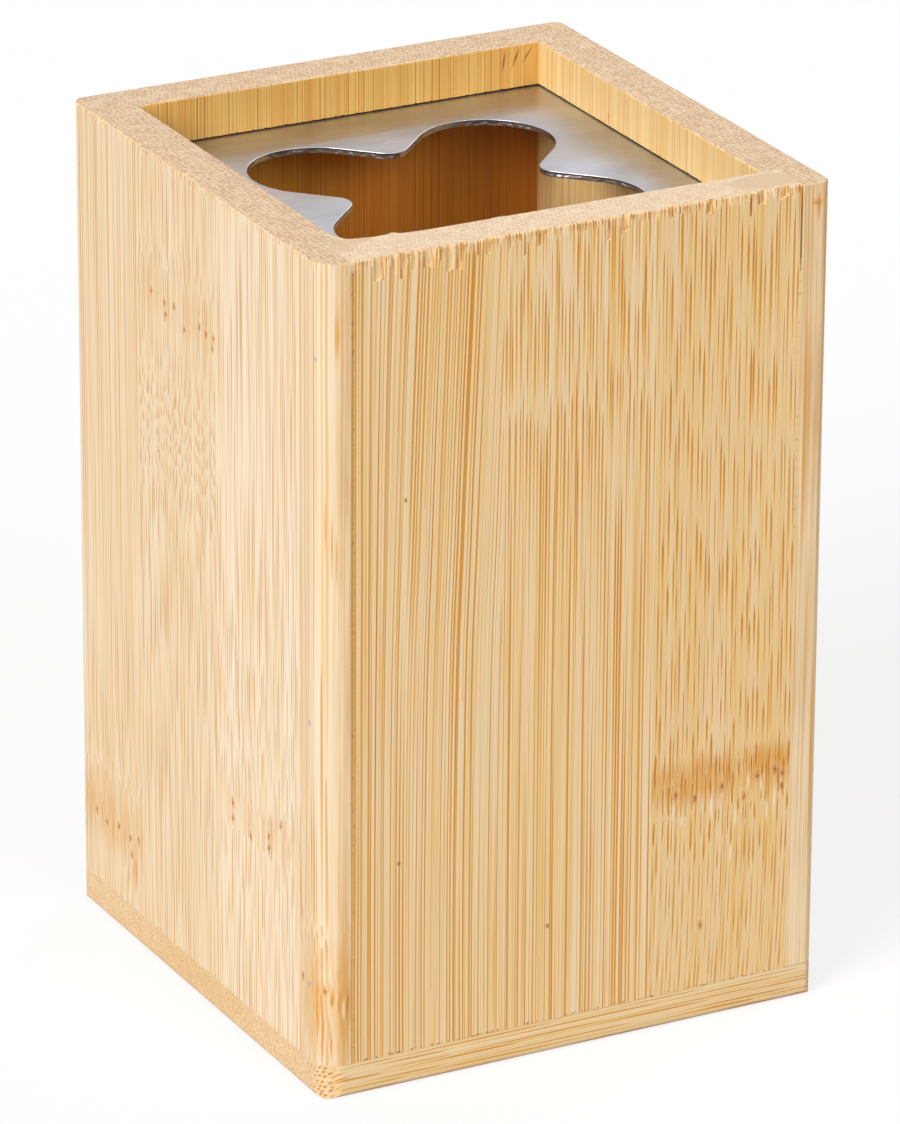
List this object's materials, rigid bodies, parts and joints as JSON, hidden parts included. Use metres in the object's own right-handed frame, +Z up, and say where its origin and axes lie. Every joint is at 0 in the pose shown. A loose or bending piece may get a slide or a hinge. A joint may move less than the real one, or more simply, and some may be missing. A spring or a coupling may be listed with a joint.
{
  "type": "toothbrush holder",
  "caption": "Square bamboo box with a recessed steel plate, whose lobed cut-out holds toothbrushes apart and upright.",
  "frame": {"origin": "centre of the underside, on the surface that the box stands on", "axes": "+Z up, along the grain of the walls; -Y towards the front wall, +X towards the right wall"},
  "size_m": [0.07, 0.07, 0.11],
  "materials": {
    "bamboo_wall": "satin, upright bamboo grain",
    "bamboo_base": "satin, bamboo grain from side to side",
    "brushed_steel": "fine straight brushing"
  },
  "bodies": {
    "root": {"front_wall_strip_1": "bamboo_wall", "front_wall_strip_2": "bamboo_wall", "front_wall_strip_3": "bamboo_wall", "back_wall_strip_1": "bamboo_wall", "back_wall_strip_2": "bamboo_wall", "back_wall_strip_3": "bamboo_wall", "left_wall_strip_1": "bamboo_wall", "left_wall_strip_2": "bamboo_wall", "left_wall_strip_3": "bamboo_wall", "left_wall_strip_4": "bamboo_wall", "right_wall_strip_1": "bamboo_wall", "right_wall_strip_2": "bamboo_wall", "right_wall_strip_3": "bamboo_wall", "right_wall_strip_4": "bamboo_wall", "base_strip_1": "bamboo_base", "base_strip_2": "bamboo_base", "base_strip_3": "bamboo_base", "base_strip_4": "bamboo_base", "steel_plate": "brushed_steel"}
  },
  "joints": []
}
